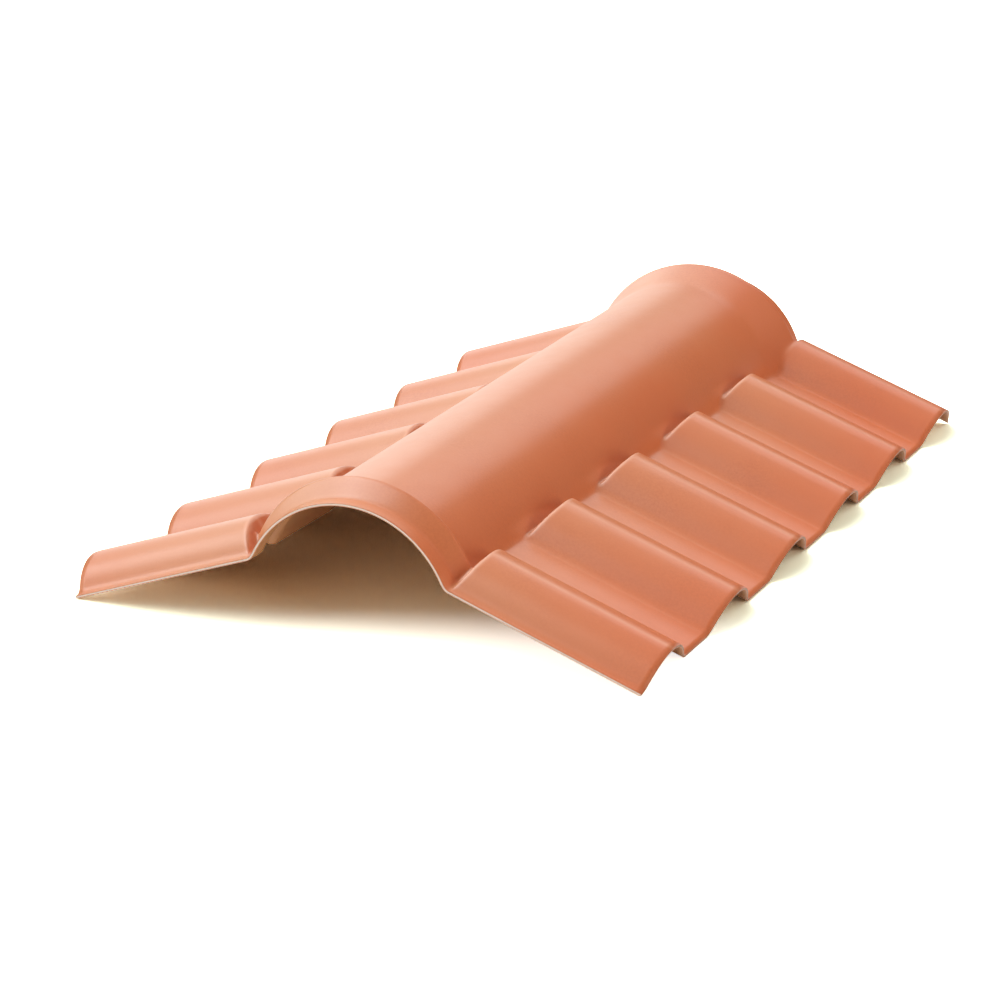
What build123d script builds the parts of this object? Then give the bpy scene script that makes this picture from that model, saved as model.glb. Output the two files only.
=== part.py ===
from build123d import *
import os
from math import atan2, ceil, cos, degrees, radians, sin, sqrt, tan

# Ridge tile for pantiled roofs: a tapered half-round roll between two wings, whose humps run down the
# slope and sit over the humps of the tiles below. The whole tile is one moulded sheet of even thickness.
# X is across the ridge, Y along it from the near end to the far end, Z up. Millimetres and degrees.
os.makedirs("parts", exist_ok=True)

# Sheet and wings
wall = 2.5
length = 900.0
half_width = 272.0
wing_angle = 19.5

# Humps across each wing: heights and radii are square to the wing
hump_pitch = 160.0
hump_height = 27.5
hump_half_width = 57.0
hump_foot_radius = 16.0
first_crest = 48.0

# Upper ends of the humps, which start this far inside the side of the roll: rounded outside, bevelled inside
hump_inset = 5.0
hump_end_lean = 17.5
hump_end_radius = 7.0
hump_end_bevel = 2.8

# Roll between bead and bell: outer radius and height of its centre at the bead, and their growth to the bell
roll_radius = 100.0
roll_centre = 32.0
roll_spread = 7.0
roll_climb = 12.5
root_radius = 10.0

# Lips at the two ends: how much their radius and the height of their centre differ from the roll's there
near_lip_step = 2.0
near_lip_drop = 6.0
far_lip_step = -3.0
far_lip_drop = 8.5

# Bead behind the near lip
bead_position = 33.5
bead_height = 12.0
bead_drop = 1.0
bead_front_angle = 44.0
bead_back_angle = 47.0

# Bell in front of the far lip, which drops over the bead of the next tile with this clearance
bell_position = 844.0
lap_clearance = 7.5
bell_drop = 5.0
bell_front_angle = 13.0
bell_back_angle = 51.0

# Bead and bell are rounded at the crest, and their slopes run down to this far below it inside the roll
crest_radius = 7.0
ring_depth = 30.0

# How far the cavity is drawn past the ends and the eaves, so that it cuts right through them
clearance = 20.0

slope = radians(wing_angle)
ridge_height = half_width * tan(slope)
middle = length / 2
hump_start = roll_radius - hump_inset

near_lip_radius = roll_radius + near_lip_step
near_lip_centre = roll_centre - near_lip_drop
far_lip_radius = roll_radius + roll_spread + far_lip_step
far_lip_centre = roll_centre + roll_climb - far_lip_drop
bead_radius = roll_radius + bead_height
bead_centre = roll_centre - bead_drop
bell_radius = bead_radius + wall + lap_clearance
bell_centre = roll_centre + roll_climb - bell_drop

# A hump's flank turns through this angle from foot to crest, where its foot arc meets its crest arc
arc_sum = (hump_height**2 + hump_half_width**2) / (2 * hump_height)
hump_crest_radius = arc_sum - hump_foot_radius
flank_angle = degrees(atan2(hump_half_width, arc_sum - hump_height))
hump_count = ceil((length - first_crest + hump_half_width) / hump_pitch)


def across(place):
    """The plane across the ridge at the given distance from the near end."""
    return Plane.XZ.offset(middle - place)


def wing_outline(depth, reach):
    """Corners of the section of one wing: ridge, eave, and the eave's foot, sunk below the outer face."""
    skin = wall - depth
    peak = (0, ridge_height + skin / cos(slope))
    run = half_width + skin * sin(slope) + reach
    eave = (run, peak[1] - run * tan(slope))
    foot = (run - (wall + reach) * tan(slope), eave[1] - wall - reach)
    return peak, eave, foot


def lip_form(start, end, radius, centre, depth):
    """A straight stretch at one end of the tile: the wings and a lip that keeps its radius."""
    reach = clearance if depth else 0
    peak, eave, foot = wing_outline(depth, reach)
    roll = radius - depth
    rise = (peak[1] - centre) * cos(slope)
    along = sqrt(roll**2 - rise**2)
    root = (rise * sin(slope) + along * cos(slope), centre + rise * cos(slope) - along * sin(slope))
    with BuildPart() as lip:
        with BuildSketch(across(start)) as section:
            with BuildLine():
                Polyline((0, foot[1]), foot, eave, root)
                ThreePointArc(root, (0, centre + roll), (-root[0], root[1]))
                Polyline((-root[0], root[1]), (-eave[0], eave[1]), (-foot[0], foot[1]), (0, foot[1]))
            make_face()
            fillet(section.vertices().group_by(Axis.Y)[-1], root_radius + depth)
        extrude(amount=start - end)
    return lip.part


def roll_at(place):
    """Outer radius and centre height of the roll at a place between the bead and the bell."""
    share = (place - bead_position) / (bell_position - bead_position)
    return roll_radius + share * roll_spread, roll_centre + share * roll_climb


def body_form(depth):
    """The long stretch from bead to bell: the wings and a roll that widens and climbs towards the bell."""
    peak, eave, foot = wing_outline(depth, clearance if depth else 0)
    start_radius, start_centre = roll_at(bead_position - clearance)
    end_radius, end_centre = roll_at(bell_position + clearance)
    climb = end_centre - start_centre
    run = bell_position - bead_position + 2 * clearance
    axis = Plane(origin=(0, bead_position - clearance - middle, start_centre), x_dir=(1, 0, 0),
                 z_dir=(0, run, climb))
    with BuildPart() as body:
        with Locations(axis):
            Cone(start_radius - depth, end_radius - depth, sqrt(run**2 + climb**2),
                 align=(Align.CENTER, Align.CENTER, Align.MIN))
        split(bisect_by=Plane.XY.offset(foot[1] + wall), keep=Keep.TOP)
        split(bisect_by=across(bead_position), keep=Keep.BOTTOM)
        split(bisect_by=across(bell_position), keep=Keep.TOP)
        with BuildSketch(across(bead_position)):
            Polygon(peak, eave, foot, (-foot[0], foot[1]), (-eave[0], eave[1]), align=None)
        extrude(amount=bead_position - bell_position)
        roots = body.edges(Select.NEW).group_by(SortBy.LENGTH)[-1]
        fillet(roots, root_radius + depth)
    return body.part


def ring_form(position, radius, centre, front_angle, back_angle, depth):
    """A half-round ring with a slope on each side of its crest, which is rounded down to the given radius."""
    half_turn = radians(front_angle + back_angle) / 2
    tilt = radians(back_angle - front_angle) / 2
    peak = radius + crest_radius * (cos(tilt) / cos(half_turn) - 1)
    base = peak - ring_depth
    start = position - ring_depth / tan(radians(front_angle))
    end = position + ring_depth / tan(radians(back_angle))
    level = Plane(origin=(0, -middle, centre), x_dir=(0, 1, 0), z_dir=(0, 0, -1))
    with BuildPart() as ring:
        with BuildSketch(level) as profile:
            Polygon((start, 0), (end, 0), (end, base), (position, peak), (start, base), align=None)
            fillet(profile.vertices().sort_by(Axis.Y)[-1], crest_radius)
            if depth:
                offset(amount=-depth)
        revolve(axis=Axis((0, 0, centre), (0, -1, 0)), revolution_arc=180)
    return ring.part


def hump_form(depth):
    """The humps of the right wing, each a crest arc between two foot arcs, closed by a leaning upper end."""
    skin = wall - depth
    start = hump_start + depth / cos(slope)
    lean = slope + radians(hump_end_lean)
    down_slope = Plane(origin=(0, -middle, ridge_height), x_dir=(0, 1, 0), z_dir=(cos(slope), 0, -sin(slope)))
    end_plane = Plane(origin=(start, 0, ridge_height - start * tan(slope)), x_dir=(0, 1, 0),
                      z_dir=(cos(lean), 0, -sin(lean)))
    with BuildPart() as humps:
        with BuildSketch(down_slope):
            for number in range(hump_count):
                crest = first_crest + number * hump_pitch
                left = crest - hump_half_width
                right = crest + hump_half_width
                with BuildLine():
                    CenterArc((left, wall + hump_foot_radius), hump_foot_radius + depth, 270, flank_angle)
                    CenterArc((crest, wall + hump_height - hump_crest_radius), hump_crest_radius - depth,
                              90 + flank_angle, -2 * flank_angle)
                    CenterArc((right, wall + hump_foot_radius), hump_foot_radius + depth,
                              270 - flank_angle, flank_angle)
                    Polyline((right, skin), (right, -wall), (left, -wall), (left, skin))
                make_face()
        extrude(amount=half_width / cos(slope) + (clearance if depth else 0))
        split(bisect_by=end_plane, keep=Keep.TOP)
        ends = humps.faces().filter_by(lambda face: face.normal_at().dot(end_plane.z_dir) < -0.999)
        rims = ends.edges().filter_by(GeomType.LINE, reverse=True)
        if depth:
            chamfer(rims, hump_end_bevel)
        else:
            fillet(rims, hump_end_radius)
    return humps.part


def tile_form(depth):
    """All that lies under the tile's skin, sunk below the outer face by depth."""
    reach = clearance if depth else 0
    near_lip = lip_form(-reach, bead_position, near_lip_radius, near_lip_centre, depth)
    far_lip = lip_form(bell_position, length + reach, far_lip_radius, far_lip_centre, depth)
    body = body_form(depth)
    bead = ring_form(bead_position, bead_radius, bead_centre, bead_front_angle, bead_back_angle, depth)
    bell = ring_form(bell_position, bell_radius, bell_centre, bell_front_angle, bell_back_angle, depth)
    right_humps = hump_form(depth)
    left_humps = mirror(right_humps, about=Plane.YZ)
    with BuildPart() as form:
        add([near_lip, body, far_lip])
        add([bead, bell])
        add([right_humps, left_humps])
    return form.part


outer_form = tile_form(0)
cavity_form = tile_form(wall)

with BuildPart() as ridge_tile:
    add(outer_form)
    add(cavity_form, mode=Mode.SUBTRACT)
    split(bisect_by=across(0), keep=Keep.BOTTOM)
    split(bisect_by=across(length), keep=Keep.TOP)

ridge_tile.part.label = "ridge_tile"
export_step(ridge_tile.part, "parts/ridge_tile.step")
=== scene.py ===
# %% [markdown]
# # A ridge tile for pantiled roofs, made in Blender
# The object is one moulded sheet: a half-round roll that covers the ridge, a bead and a bell where two
# tiles lap, and two wings whose humps sit over the humps of the roof below.
# The sheet has no loose parts, so the whole lesson is about one surface that follows rules. A rule
# suits Geometry Nodes: a flat grid goes in, and the nodes push it onto the shape.

# %% Load the fixed frame
from math import atan2, cos, degrees, radians, sin, sqrt, tan

import bpy
from mathutils import Matrix, Vector


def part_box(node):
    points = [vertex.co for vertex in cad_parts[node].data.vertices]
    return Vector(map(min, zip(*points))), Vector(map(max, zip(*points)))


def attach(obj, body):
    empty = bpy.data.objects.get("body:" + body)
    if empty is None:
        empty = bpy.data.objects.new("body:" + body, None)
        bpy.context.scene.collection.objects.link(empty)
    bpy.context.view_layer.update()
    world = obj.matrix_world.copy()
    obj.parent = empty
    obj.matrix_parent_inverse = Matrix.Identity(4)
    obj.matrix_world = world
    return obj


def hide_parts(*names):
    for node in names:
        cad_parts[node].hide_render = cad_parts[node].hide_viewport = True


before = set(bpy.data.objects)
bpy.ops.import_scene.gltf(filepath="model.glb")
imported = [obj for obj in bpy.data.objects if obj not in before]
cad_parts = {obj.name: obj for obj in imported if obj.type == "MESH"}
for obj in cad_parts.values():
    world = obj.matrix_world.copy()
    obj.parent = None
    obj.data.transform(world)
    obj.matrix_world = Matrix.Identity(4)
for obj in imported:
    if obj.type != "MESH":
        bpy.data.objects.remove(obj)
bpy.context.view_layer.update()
low_corner, high_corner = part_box("ridge_tile")
print("frame nodes:", sorted(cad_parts), "box:", [round(v, 4) for v in high_corner - low_corner])

# %% [markdown]
# ## Sizes
# Every size is in metres. The length comes from the frame, and the others are those of the moulded
# sheet: a thin wall, wings that slope from the ridge, and humps at the pitch of the roof below.

# %% Sizes of the sheet
MM = 0.001
length = high_corner.y - low_corner.y
wall = 2.5 * MM
half_width = 272 * MM
slope = radians(19.5)
ridge_height = half_width * tan(slope)
eave_run = half_width / cos(slope)

hump_pitch = 160 * MM
hump_height = 27.5 * MM
hump_half_width = 57 * MM
hump_foot_radius = 16 * MM
first_crest = 48 * MM
hump_start = 95 * MM / cos(slope)
hump_end_lean = radians(17.5)
print("length", round(length, 4), "run down each wing", round(eave_run, 4))

# %% [markdown]
# ## The roll, the bead and the bell
# The roll is a half-round that widens and climbs from the near end to the far end, so that the bell of
# one tile can drop over the bead of the next. Each stretch is a circle with its own radius and centre
# height, and each ring is two cones that meet in a rounded crest. Where two shapes meet, a blend says
# how broadly one runs into the other.

# %% Sizes of the roll and its rings
roll_radius, roll_centre = 100 * MM, 32 * MM
roll_spread, roll_climb = 7 * MM, 12.5 * MM
near_lip_radius, near_lip_centre = 102 * MM, 26 * MM
far_lip_radius, far_lip_centre = 104 * MM, 36 * MM
bead = {"place": 33.5 * MM, "radius": 112 * MM, "centre": 31 * MM, "front": 44, "back": 47,
        "round": 5 * MM, "foot": 3 * MM}

bell_centre = 39.5 * MM
room_over_bell = 0.05 * MM
bell = {"place": 844 * MM, "radius": high_corner.z - bell_centre - room_over_bell, "centre": bell_centre,
        "front": 13, "back": 51, "round": 6 * MM, "foot": 3 * MM}

root_blend = 6 * MM
hump_end_blend = 4 * MM
hump_foot_blend = 2.5 * MM
print("crest of the bell", round(bell["radius"] + bell["centre"], 4), "box height", round(high_corner.z, 4))

# %% [markdown]
# ## Writing formulas as nodes
# A node tree is a formula drawn with boxes. It could be wired by hand, but the shape rule below has over
# a hundred steps, so a small class lets Python's own signs add the Math nodes. The rule then
# reads like the sums that a pattern maker would do on paper.

# %% A class that turns sums into Math nodes
class Value:
    """A number at every point of the mesh: an output socket that can be used in sums."""
    tree = None

    def __init__(self, socket):
        self.socket = socket

    def __add__(self, other):
        return math("ADD", self, other)

    def __radd__(self, other):
        return math("ADD", other, self)

    def __sub__(self, other):
        return math("SUBTRACT", self, other)

    def __rsub__(self, other):
        return math("SUBTRACT", other, self)

    def __mul__(self, other):
        return math("MULTIPLY", self, other)

    def __rmul__(self, other):
        return math("MULTIPLY", other, self)

    def __truediv__(self, other):
        return math("DIVIDE", self, other)


def plug(socket, value):
    """Links a Value or a plain socket, or sets a plain number."""
    if isinstance(value, Value):
        Value.tree.links.new(value.socket, socket)
    elif isinstance(value, bpy.types.NodeSocket):
        Value.tree.links.new(value, socket)
    else:
        socket.default_value = value


def math(operation, *terms, clamp=False):
    """Adds a Math node, whose terms are Values, sockets or plain numbers."""
    made = Value.tree.nodes.new("ShaderNodeMath")
    made.operation = operation
    made.use_clamp = clamp
    for socket, term in zip(made.inputs, terms):
        plug(socket, term)
    return Value(made.outputs[0])


def root(value):
    """The square root, with anything below zero taken as zero."""
    return math("SQRT", math("MAXIMUM", value, 0.0))


def distance(across, up):
    return root(across * across + up * up)


def choose(test, when_true, when_false):
    """One of two numbers, by a test that is 1 or 0."""
    return when_false + test * (when_true - when_false)


def node(kind, **inputs):
    """Adds a node and fills its inputs by name."""
    made = Value.tree.nodes.new(kind)
    for name, value in inputs.items():
        plug(made.inputs[name.replace("_", " ")], value)
    return made

# %% [markdown]
# ## The rule of the wings
# Each wing is a flat slope with humps across it. A hump's section is a crest arc between two foot arcs,
# so it has no corner for water to sit in. Its upper end is cut off by a leaning plane beside the roll.
# The rule gives, for any point in space, about how far it lies above the sheet: zero is the sheet.

# %% The distance to a wing
arc_sum = (hump_height**2 + hump_half_width**2) / (2 * hump_height)
hump_crest_radius = arc_sum - hump_foot_radius
flank_angle = atan2(hump_half_width, arc_sum - hump_height)
crest_share = hump_crest_radius * sin(flank_angle)
foot_share = hump_foot_radius * sin(flank_angle)
print("flank angle", round(degrees(flank_angle), 1), "crest radius", round(hump_crest_radius, 4))


def wing_rules(side, place, up, size):
    """Distances above the slope, over a hump and before its upper end, and off the nearest crest."""
    above = side * sin(slope) + (up - ridge_height) * cos(slope) - size["Wall"]
    down = side * cos(slope) - (up - ridge_height) * sin(slope)
    off_crest = math("PINGPONG", place - (first_crest - hump_pitch), hump_pitch / 2)
    # The first hump's near flank is squeezed, so that its foot ends level at the near end of the tile.
    at_near_end = math("LESS_THAN", place, first_crest)
    off_crest = choose(at_near_end, (first_crest - place) * (hump_half_width / first_crest), off_crest)
    near_crest = math("LESS_THAN", off_crest, crest_share)
    crest_run = math("MINIMUM", off_crest, crest_share)
    foot_run = math("MINIMUM", math("MAXIMUM", hump_half_width - off_crest, 0.0), foot_share)
    crest_level = root(hump_crest_radius**2 - crest_run * crest_run)
    foot_level = root(hump_foot_radius**2 - foot_run * foot_run)
    level = choose(near_crest, crest_level + (hump_height - hump_crest_radius), hump_foot_radius - foot_level)
    steep = choose(near_crest, crest_level / hump_crest_radius, foot_level / hump_foot_radius)
    over_hump = (above - level) * steep
    before_end = ((above + size["Wall"]) * tan(hump_end_lean) + hump_start - down) * cos(hump_end_lean)
    return above, over_hump, before_end, off_crest


def wing_distance(side, place, up, size):
    """Distance to a wing with its humps; side is measured from the ridge line, up is the height."""
    above, over_hump, before_end, _ = wing_rules(side, place, up, size)
    hump = math("SMOOTH_MAX", over_hump, before_end, hump_end_blend)
    return math("SMOOTH_MIN", above, hump, hump_foot_blend)

# %% [markdown]
# ## The rule of the roll
# A circle's rule is the distance to its centre less its radius. The stretches follow each other along
# the ridge, and a smooth minimum lets the rings grow out of them with no crease, as moulding does.

# %% The distance to the roll
def crest_drop(front, back, rounding):
    """How far a rounded crest lies below the corner where its two slopes would meet."""
    low, high = sorted((sin(front), sin(back)))
    share = sqrt(2 * low / (low + high))
    return rounding * (share**3 * (low + high) / 6 + (1 - share) * low) / sin(front + back)


def ring_distance(side, place, up, ring):
    """Distance to a bead or bell: a front and a back cone that meet in a rounded crest."""
    front, back = radians(ring["front"]), radians(ring["back"])
    peak = ring["radius"] + crest_drop(front, back, ring["round"])
    out = distance(side, up - ring["centre"])
    over_front = (out - peak - (place - ring["place"]) * tan(front)) * cos(front)
    over_back = (out - peak + (place - ring["place"]) * tan(back)) * cos(back)
    return math("SMOOTH_MAX", over_front, over_back, ring["round"])


def roll_distance(side, place, up):
    """Distance to the roll with its two lips, its bead and its bell."""
    share = (place - bead["place"]) / (bell["place"] - bead["place"])
    near = math("LESS_THAN", place, bead["place"])
    far = math("GREATER_THAN", place, bell["place"])
    radius = choose(far, far_lip_radius, choose(near, near_lip_radius, share * roll_spread + roll_radius))
    centre = choose(far, far_lip_centre, choose(near, near_lip_centre, share * roll_climb + roll_centre))
    tube = distance(side, up - centre) - radius
    for ring in (bead, bell):
        tube = math("SMOOTH_MIN", tube, ring_distance(side, place, up, ring), ring["foot"])
    return tube

# %% [markdown]
# ## Where the grid's points go
# A flat grid has even rows and columns, but the sheet needs most of its points where it bends most: at
# the bead, at the bell and at the root between roll and wing. Two short lists of stretches say how far
# apart the rows and the columns are, and a Float Curve spreads the grid's points to match.

# %% Spread the rows and columns
def spread(stretches):
    """Points of a curve from even steps to uneven ones, and the number of steps, from (end, spacing)."""
    ends = [0.0] + [end for end, _ in stretches]
    counts = [round((b - a) / spacing) for a, b, (_, spacing) in zip(ends, ends[1:], stretches)]
    total = sum(counts)
    points = [(sum(counts[:i]) / total, end / ends[-1]) for i, end in enumerate(ends)]
    return points, total


row_points, row_steps = spread([(56 * MM, 1.6 * MM), (780 * MM, 3.6 * MM), (872 * MM, 1.8 * MM),
                                (length, 3 * MM)])
column_points, column_steps = spread([(80 * MM, 3.2 * MM), (132 * MM, 1.8 * MM), (eave_run, 6.5 * MM)])
print("rows", row_steps + 1, "columns", 2 * column_steps + 1)


def curve_value(value, points):
    """Reads a value off a curve that runs straight from each point to the next."""
    made = Value.tree.nodes.new("ShaderNodeFloatCurve")
    curve = made.mapping.curves[0]
    for x, y in points[1:-1]:
        curve.points.new(x, y)
    for point, (x, y) in zip(curve.points, points):
        point.location = (x, y)
        point.handle_type = "VECTOR"
    made.mapping.update()
    plug(made.inputs["Value"], value)
    return Value(made.outputs["Value"])

# %% [markdown]
# ## The grid in the air
# The grid's points first go to places in the air above the sheet, each with a direction that leans as
# the wing does. Straight down would be simpler, but it would stretch the faces on the steep sides of
# the roll. The tree has three named sizes: the length, the wall and the height that the points start at.

# %% Small steps that the tree repeats
tree_sizes = {"Length": length, "Wall": wall, "Start height": 110 * MM}


def store(geometry, name, value, kind="FLOAT", domain="POINT"):
    """Keeps a value on the mesh under a name."""
    made = node("GeometryNodeStoreNamedAttribute", Geometry=geometry, Name=name)
    made.data_type, made.domain = kind, domain
    plug(made.inputs["Value"], value)
    return made.outputs["Geometry"]


def stored(name, kind="FLOAT"):
    """Reads a value that the mesh keeps under a name."""
    made = node("GeometryNodeInputNamedAttribute", Name=name)
    made.data_type = kind
    return made.outputs["Attribute"]


def parts_of(vector):
    made = node("ShaderNodeSeparateXYZ", Vector=vector)
    return [Value(made.outputs[axis]) for axis in "XYZ"]


def vector(x, y, z):
    return node("ShaderNodeCombineXYZ", X=x, Y=y, Z=z).outputs["Vector"]


def scaled(direction, factor):
    made = Value.tree.nodes.new("ShaderNodeVectorMath")
    made.operation = "SCALE"
    plug(made.inputs[0], direction)
    plug(made.inputs["Scale"], factor)
    return made.outputs["Vector"]


def position():
    return node("GeometryNodeInputPosition").outputs["Position"]


def place_on_tile(size):
    """How far a point is from the ridge line and from the near end, and its height."""
    x, y, up = parts_of(position())
    return math("ABSOLUTE", x), y + size["Length"] * 0.5, up


def eased(share):
    """A share from 0 to 1 that starts and ends gently."""
    return share * share * (3.0 - share * 2.0)

# %% Lift the grid
full_lean_run = 80 * MM


def lift_grid(size):
    """A grid in the air above the sheet, whose points know which way they fall."""
    grid = node("GeometryNodeMeshGrid", Size_X=2.0, Size_Y=1.0)
    grid.inputs["Vertices X"].default_value = 2 * column_steps + 1
    grid.inputs["Vertices Y"].default_value = row_steps + 1
    column, row, _ = parts_of(position())
    sign = math("SIGN", column)
    run = curve_value(math("ABSOLUTE", column), column_points) * eave_run
    along = curve_value(row + 0.5, row_points) * size["Length"] - size["Length"] * 0.5
    lean = eased(math("MINIMUM", run / full_lean_run, 1.0)) * slope
    fall = vector(math("SINE", lean) * sign, 0.0, math("COSINE", lean))
    out = (run * cos(slope) + math("SINE", lean) * size["Start height"]) * sign
    up = math("COSINE", lean) * size["Start height"] - run * sin(slope) + ridge_height
    lifted = store(grid.outputs["Mesh"], "fall", fall, "FLOAT_VECTOR")
    last_row = 0.5 - 0.25 / row_steps
    lifted = store(lifted, "end row", math("GREATER_THAN", math("ABSOLUTE", row), last_row))
    return node("GeometryNodeSetPosition", Geometry=lifted, Position=vector(out, along, up)).outputs[0]

# %% [markdown]
# ## The fall
# Each round of a Repeat Zone moves every point along its direction by the distance that the rule gives,
# so after some rounds they all lie on the sheet. A mesh cut out of blocks would need its seams cleaned,
# and this one has none.

# %% Let the points fall
def drop_onto_sheet(geometry, size, rounds=26):
    """Moves every point along its own direction until the rule says that it lies on the sheet."""
    first = Value.tree.nodes.new("GeometryNodeRepeatInput")
    last = Value.tree.nodes.new("GeometryNodeRepeatOutput")
    first.pair_with_output(last)
    first.inputs["Iterations"].default_value = rounds
    plug(first.inputs["Geometry"], geometry)
    side, place, up = place_on_tile(size)
    gap = math("SMOOTH_MIN", wing_distance(side, place, up, size), roll_distance(side, place, up), root_blend)
    step = scaled(stored("fall", "FLOAT_VECTOR"), gap * -1.0)
    moved = node("GeometryNodeSetPosition", Geometry=first.outputs["Geometry"], Offset=step)
    plug(last.inputs["Geometry"], moved.outputs[0])
    return last.outputs["Geometry"]

# %% [markdown]
# ## Painted highlights and painted light
# The crests of the humps and the rims of their upper ends get a painted highlight, and the skin is painted
# paler where light falls, most on faces that turn left and least by the eaves and at the far end. Both could
# be painted by hand, but the tree already knows where the crests and the rims are, so it stores two marks
# that the finish reads later.

# %% Mark the painted highlights and the painted light
# Painted highlight: its width along the crests and the rims, its strength on the crests, and how it fades in
# above the slope and off the roll.
crest_line_width, rim_width = 5.5 * MM, 5 * MM
crest_highlight = 0.65
bare_level, bare_run = 6 * MM, 8 * MM
root_gap, root_run = 0.9 * MM, 3 * MM

# Painted light: how pale it makes the top, how much paler on faces that turn left, and how much it fades by
# the eaves and at the far end.
light_on_top, light_from_left, light_lost = 0.64, 0.85, 0.4
eave_start, eave_stretch = 140 * MM, 140 * MM
far_start, far_stretch = 250 * MM, 200 * MM


def ramp(value, start, run):
    """Stays 0 until the value reaches start, then rises evenly to 1 over run."""
    return math("MULTIPLY_ADD", value, 1 / run, -start / run, clamp=True)


def mark_painted_highlights(skin, size):
    """Marks a painted highlight on the crests of the humps and the rims of their upper ends, where they stand
    off roll and pan.
    """
    side, place, up = place_on_tile(size)
    above, over_hump, before_end, off_crest = wing_rules(side, place, up, size)
    crest = math("SUBTRACT", 1.0, off_crest / crest_line_width, clamp=True)
    rim = math("SUBTRACT", 1.0, math("ABSOLUTE", over_hump - before_end) / rim_width, clamp=True)
    raised = ramp(above, bare_level, bare_run)
    off_roll = ramp(roll_distance(side, place, up), root_gap, root_run)
    return store(skin, "painted highlight", math("MAXIMUM", crest * crest_highlight, rim) * raised * off_roll)


def mark_painted_light(skin):
    """Marks how much painted light each face gets: most on faces that turn left, less down by the eaves and
    at the far end.
    """
    facing_right = parts_of(node("GeometryNodeInputNormal").outputs[0])[0]
    x, y, _ = parts_of(position())
    eave_share = math("MAXIMUM", math("ABSOLUTE", x) - eave_start, 0.0) / eave_stretch
    far_share = math("MAXIMUM", y - far_start, 0.0) / far_stretch
    light_share = light_on_top - facing_right * light_from_left - eave_share * light_lost - far_share * light_lost
    return store(skin, "painted light", math("MINIMUM", math("MAXIMUM", light_share, 0.0), 1.0))

# %% [markdown]
# ## Thickness
# The skin is extruded inwards by the wall, which makes the underside and the rim. A Solidify modifier
# would tilt the rim with the surface, and the real ends are sawn square, so the points of the end rows
# keep their place along the ridge. The rim gets the finish of a cut edge.

# %% Give the skin its thickness and build the tree
def give_thickness(skin, size):
    """Extrudes the skin inwards by the wall; the ends stay in the planes that the saw cut."""
    x, y, z = parts_of(node("GeometryNodeInputNormal").outputs[0])
    inward = scaled(vector(x, y * (1.0 - Value(stored("end row"))), z), size["Wall"] * -1.0)
    skin = store(skin, "inward", inward, "FLOAT_VECTOR")
    extruded = node("GeometryNodeExtrudeMesh", Mesh=skin, Offset_Scale=0.0)
    extruded.mode = "FACES"
    extruded.inputs["Individual"].default_value = False
    shell = store(extruded.outputs["Mesh"], "cut edge", extruded.outputs["Side"], "BOOLEAN", "FACE")
    shell = store(shell, "depth", extruded.outputs["Top"])
    shell = node("GeometryNodeSetPosition", Geometry=shell, Selection=extruded.outputs["Top"],
                 Offset=stored("inward", "FLOAT_VECTOR")).outputs[0]
    flipped = node("GeometryNodeFlipFaces", Mesh=shell).outputs[0]
    joined = Value.tree.nodes.new("GeometryNodeJoinGeometry")
    plug(joined.inputs[0], flipped)
    plug(joined.inputs[0], skin)
    return node("GeometryNodeMergeByDistance", Geometry=joined.outputs[0], Distance=0.01 * MM).outputs[0]


def build_sheet_tree(skin_material, edge_material):
    """The whole tree, from the grid to a smooth sheet with its two finishes."""
    tree = bpy.data.node_groups.new("moulded sheet", "GeometryNodeTree")
    Value.tree = tree
    tree.interface.new_socket("Geometry", in_out="OUTPUT", socket_type="NodeSocketGeometry")
    for name in tree_sizes:
        tree.interface.new_socket(name, in_out="INPUT", socket_type="NodeSocketFloat").subtype = "DISTANCE"
    group_in = tree.nodes.new("NodeGroupInput")
    size = {name: Value(group_in.outputs[name]) for name in tree_sizes}
    # The skin is marked with a painted highlight on crests and rims, and with painted light that is paler on
    # faces that turn left.
    skin = mark_painted_light(mark_painted_highlights(drop_onto_sheet(lift_grid(size), size), size))
    sheet = give_thickness(skin, size)
    sheet = node("GeometryNodeRealizeInstances", Geometry=sheet).outputs[0]
    edge = stored("cut edge", "BOOLEAN")
    smooth = node("FunctionNodeBooleanMath", Boolean=edge)
    smooth.operation = "NOT"
    sheet = node("GeometryNodeSetShadeSmooth", Geometry=sheet, Shade_Smooth=smooth.outputs[0]).outputs[0]
    sheet = node("GeometryNodeSetMaterial", Geometry=sheet, Material=skin_material).outputs[0]
    sheet = node("GeometryNodeSetMaterial", Geometry=sheet, Selection=edge, Material=edge_material).outputs[0]
    plug(tree.nodes.new("NodeGroupOutput").inputs["Geometry"], sheet)
    print("tree", len(tree.nodes), "nodes,", len(tree.links), "links")
    return tree

# %% [markdown]
# ## The skin
# The sheet has a clay-coloured skin with a low satin gloss. A fine pebble texture from the rollers
# breaks up the highlights, and its colour drifts a little from place to place. It is paler where the
# mesh carries painted light and painted highlights, and browner underneath. A plain colour would look like
# new plastic, so all of these are mixed from noise on Object coordinates and from the marks on the mesh.

# %% The clay-coloured skin
# The skin's deep colour, and a paler one for random drift and for painted light.
deep_clay = (0.62, 0.158, 0.057, 1)
pale_and_lit_clay = (0.62, 0.262, 0.117, 1)
fleck_clay = (0.50, 0.125, 0.045, 1)
# The colour of the painted highlight on the crests and the rims.
highlight_clay = (0.80, 0.42, 0.26, 1)
underside_clay = (0.62, 0.28, 0.11, 1)


def shader(name):
    material = bpy.data.materials.new(name)
    material.use_nodes = True
    Value.tree = material.node_tree
    return material, material.node_tree.nodes["Principled BSDF"]


def noise(scale, detail=2.0, roughness=0.5):
    """Soft cloudy variation in space; a larger scale makes smaller clouds."""
    place = node("ShaderNodeTexCoord").outputs["Object"]
    made = node("ShaderNodeTexNoise", Vector=place, Scale=scale, Detail=detail, Roughness=roughness)
    return Value(made.outputs["Fac"])


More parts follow.
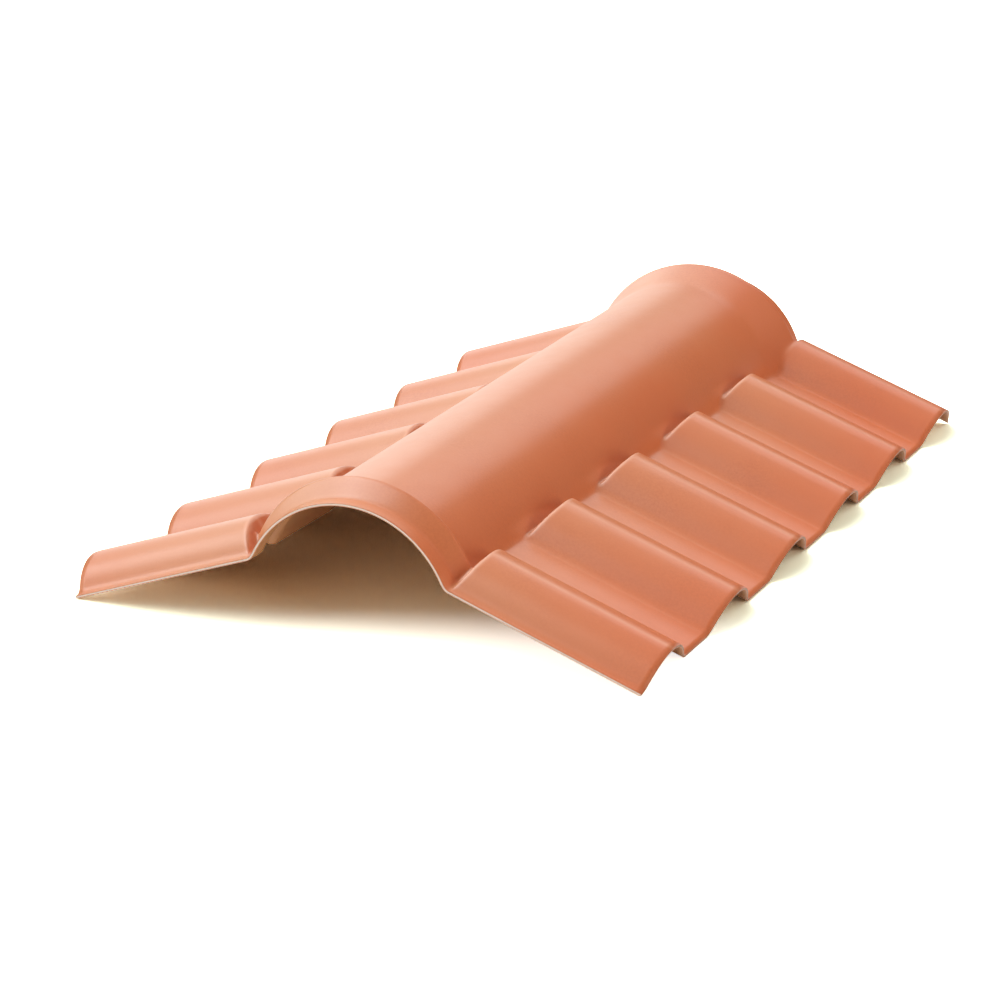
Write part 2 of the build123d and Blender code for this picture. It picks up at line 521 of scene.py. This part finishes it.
def mix_colours(share, first, second):
    made = Value.tree.nodes.new("ShaderNodeMix")
    made.data_type = "RGBA"
    plug(made.inputs[0], share)
    plug(made.inputs[6], first)
    plug(made.inputs[7], second)
    return made.outputs[2]


def attribute(name):
    """Reads a mark that the mesh keeps."""
    made = node("ShaderNodeAttribute")
    made.attribute_name = name
    return Value(made.outputs["Fac"])


def clay_skin():
    """The coloured skin, with its painted light, its flecks, its painted highlights and its underside."""
    material, surface = shader("clay_coloured_skin")
    # Random drift of tone plus painted light, which is paler on faces that turn left.
    pale = math("MULTIPLY_ADD", noise(5.0, 3.0) - 0.5, 0.5, attribute("painted light"), clamp=True)
    patch = math("MULTIPLY_ADD", noise(9.0, 2.0), 5.0, -2.4, clamp=True)
    fleck = math("MULTIPLY_ADD", noise(420.0, 3.0, 0.6), 3.0, -1.1, clamp=True)
    base = mix_colours(pale, deep_clay, pale_and_lit_clay)
    base = mix_colours(fleck * (patch * 0.3 + 0.1), base, fleck_clay)
    # Painted highlight on the crests and the rims, broken up by noise.
    highlight_share = math("MULTIPLY", attribute("painted highlight"), noise(40.0, 3.0) * 0.5 + 0.25, clamp=True)
    outside = mix_colours(highlight_share, base, highlight_clay)
    plug(surface.inputs["Base Color"], mix_colours(attribute("depth"), outside, underside_clay))
    plug(surface.inputs["Roughness"], noise(60.0, 3.0) * 0.1 + 0.28)
    surface.inputs["Specular IOR Level"].default_value = 0.9
    grain = noise(330.0, 3.0, 0.6) * (patch * 0.7 + 0.3)
    pebbles = node("ShaderNodeBump", Height=grain, Distance=0.2 * MM, Strength=0.6)
    plug(surface.inputs["Normal"], pebbles.outputs[0])
    return material

# %% [markdown]
# ## The rim
# The sawn ends show the paler core of the sheet between its two coloured skins, slightly rough. Along
# the eaves the rim is a darker brown, partly its own colour and partly painted shade. One finish does both,
# by how deep in the wall and how near an end it is.

# %% The cut edge
light_core = (0.82, 0.68, 0.56, 1)
dark_core = (0.68, 0.53, 0.42, 1)
# A darker brown for the core along the eaves: partly its own colour, partly painted shade.
eave_brown_and_shade = (0.30, 0.165, 0.095, 1)
edge_of_skin = (0.56, 0.18, 0.07, 1)


def sheet_edge():
    """The rim: a pale core between two coloured skins at the sawn ends, and a darker brown one along the
    eaves, partly painted shade.
    """
    material, surface = shader("sheet_edge")
    off_middle = math("ABSOLUTE", attribute("depth") - 0.5)
    skins = math("MULTIPLY_ADD", off_middle, 14.0, -3.9, clamp=True)
    along = parts_of(node("ShaderNodeTexCoord").outputs["Object"])[1]
    sawn = math("GREATER_THAN", math("ABSOLUTE", along), length / 2 - 0.05 * MM)
    core = mix_colours(noise(300.0), light_core, dark_core)
    # Along the eaves the core takes the dark brown, partly painted shade.
    core = mix_colours(sawn, eave_brown_and_shade, core)
    plug(surface.inputs["Base Color"], mix_colours(skins, core, edge_of_skin))
    surface.inputs["Roughness"].default_value = 0.6
    plug(surface.inputs["Normal"], node("ShaderNodeBump", Height=noise(900.0), Distance=0.1 * MM).outputs[0])
    return material


skin_material, edge_material = clay_skin(), sheet_edge()
print("finishes:", skin_material.name, edge_material.name)

# %% [markdown]
# ## The tile itself
# The tree runs as a modifier on an empty mesh, with its sizes set before it first runs. Its result
# becomes a plain mesh, and the modifier goes. The tree adds its two finishes after an empty first one,
# which goes too, and so do the values that only the fall and the thickness needed.

# %% Run the tree
tree = build_sheet_tree(skin_material, edge_material)
tile = bpy.data.objects.new("ridge_tile_sheet", bpy.data.meshes.new("ridge_tile_sheet"))
bpy.context.scene.collection.objects.link(tile)
modifier = tile.modifiers.new("moulded sheet", "NODES")
modifier.node_group = tree
for socket in tree.interface.items_tree:
    if socket.in_out == "INPUT":
        modifier[socket.identifier] = tree_sizes[socket.name]
bpy.context.view_layer.update()
made = tile.evaluated_get(bpy.context.evaluated_depsgraph_get())
tile.data = bpy.data.meshes.new_from_object(made)
tile.modifiers.remove(modifier)

# %% Clear the mesh and name the piece
for name in ("fall", "end row", "inward"):
    tile.data.attributes.remove(tile.data.attributes[name])
indices = [face.material_index - 1 for face in tile.data.polygons]
tile.data.materials.pop(index=0)
tile.data.polygons.foreach_set("material_index", indices)
print("materials", [material.name for material in tile.data.materials])
print("faces of each", indices.count(0), indices.count(1))
corners = [vertex.co for vertex in tile.data.vertices]
lowest = [round(min(corner[axis] for corner in corners), 5) for axis in range(3)]
highest = [round(max(corner[axis] for corner in corners), 5) for axis in range(3)]
print("faces", len(tile.data.polygons), "box", lowest, highest)

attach(tile, "root")
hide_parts("ridge_tile")

# %% [markdown]
# ## Floor
# The tile lies on a white floor. Lamps bright enough to make it white would wash out the tile, so the
# floor glows instead, and only for the camera. The glow starts outside the tile's own shadow, a little
# further off in front, and the shadow stays deepest beneath the tile.

# %% Floor
view_azimuth = 24.8
side_fade = 70 * MM
front_start, front_fade = 300 * MM, 140 * MM
glow = 0.8
# The camera sees the floor through this tint: white in the open, while the tile's shadow is lightened and
# painted olive.
camera_tint = (1.75, 1.82, 1.40, 1)


def linear(red, green, blue):
    """A colour as it is seen, from 0 to 255, turned into the linear numbers that a shader wants."""
    return [((c / 255 + 0.055) / 1.055) ** 2.4 for c in (red, green, blue)] + [1.0]


def white_floor():
    """White paper that the camera sees glow outside the tile's own shadow, which stays deepest beneath it."""
    material, surface = shader("white_floor")
    x, y, _ = parts_of(node("ShaderNodeTexCoord").outputs["Object"])
    turn = radians(view_azimuth)
    beside = (math("ABSOLUTE", x) - high_corner.x) / side_fade
    before = (x * sin(turn) - y * cos(turn) - front_start) / front_fade
    behind = (y - high_corner.y) / side_fade
    away = math("MAXIMUM", math("MAXIMUM", beside, behind), before, clamp=True)
    seen = Value(node("ShaderNodeLightPath").outputs["Is Camera Ray"])
    # For the camera the floor takes the tint, which paints the tile's shadow lighter and olive.
    plug(surface.inputs["Base Color"], mix_colours(seen, linear(250, 250, 250), camera_tint))
    surface.inputs["Roughness"].default_value = 0.9
    surface.inputs["Emission Color"].default_value = (1, 1, 1, 1)
    plug(surface.inputs["Emission Strength"], eased(away) * seen * glow)
    return material


floor_mesh = bpy.data.meshes.new("floor")
floor_mesh.from_pydata([(-12, -12, 0), (12, -12, 0), (12, 12, 0), (-12, 12, 0)], [], [(0, 1, 2, 3)])
floor = bpy.data.objects.new("floor", floor_mesh)
floor.data.materials.append(white_floor())
bpy.context.scene.collection.objects.link(floor)

# %% [markdown]
# ## Lamps and world
# Soft light falls mostly from the upper left and lies evenly along the whole tile, so each lamp is a far
# and broad one. Two fills lift the slopes that turn right. They leave no reflection, because the satin
# skin there shows no second gloss.

# %% Lamps and world
def far_lamp(name, azimuth, elevation, breadth, strength, reflected=True):
    """A far, broad lamp: azimuth is turned from +X towards +Y, and breadth is how wide it looks."""
    az, el = radians(azimuth), radians(elevation)
    light = bpy.data.lights.new(name, "SUN")
    light.energy, light.angle = strength, radians(breadth)
    made = bpy.data.objects.new(name, light)
    towards_lamp = Vector((cos(az) * cos(el), sin(az) * cos(el), sin(el)))
    made.rotation_euler = towards_lamp.to_track_quat("Z", "Y").to_euler()
    made.visible_glossy = reflected
    bpy.context.scene.collection.objects.link(made)


far_lamp("left high", 180, 50, 40, 1.05)
far_lamp("left low", 180, 20, 30, 0.45)
far_lamp("front left high", 225, 60, 40, 1.05)
far_lamp("front left low", 225, 30, 40, 0.43)
far_lamp("back left", 135, 30, 40, 0.41)
far_lamp("back left high", 135, 60, 40, 0.55)
far_lamp("back left lowest", 120, 8, 30, 0.25)
far_lamp("back", 95, 38, 30, 0.28)
far_lamp("overhead", 0, 90, 60, 0.25)
far_lamp("front fill", 270, 30, 40, 0.20)
far_lamp("back right fill", 45, 40, 40, 0.80, reflected=False)
far_lamp("right fill", 350, 15, 30, 0.90, reflected=False)

world = bpy.data.worlds.new("studio")
world.use_nodes = True
bpy.context.scene.world = world
world.node_tree.nodes["Background"].inputs["Color"].default_value = (1, 1, 1, 1)
world.node_tree.nodes["Background"].inputs["Strength"].default_value = 0.04

# %% [markdown]
# ## Camera
# The camera looks down on the near end from its right with a long lens, which keeps the two eaves almost
# parallel. The middle of the lens is a little off the middle of the picture, so the picture is shifted.

# %% Camera
picture = 1000
film_width = 36


def aim_camera(azimuth, elevation, roll, away, target, focal_pixels, lens_middle):
    """A camera that looks at target; lens_middle is the pixel that lies straight ahead of it."""
    az, el, turn = radians(azimuth), radians(elevation), radians(roll)
    back = Vector((sin(az) * cos(el), -cos(az) * cos(el), sin(el)))
    right = Vector((0, 0, 1)).cross(back).normalized()
    over = back.cross(right)
    right, over = right * cos(turn) + over * sin(turn), over * cos(turn) - right * sin(turn)
    data = bpy.data.cameras.new("camera")
    data.sensor_width, data.lens = film_width, film_width * focal_pixels / picture
    data.shift_x = (picture / 2 - lens_middle[0]) / picture
    data.shift_y = (lens_middle[1] - picture / 2) / picture
    data.clip_end = 50
    made = bpy.data.objects.new("camera", data)
    made.matrix_world = Matrix((right, over, back)).transposed().to_4x4()
    made.location = Vector(target) + back * away
    bpy.context.scene.collection.objects.link(made)
    bpy.context.scene.camera = made


aim_camera(view_azimuth, 17.53, 0.46, 2.9251, (-0.08444, -0.010, 0.00228), 2920.3, (472.8, 492.2))
bpy.context.scene.view_settings.view_transform = "Standard"
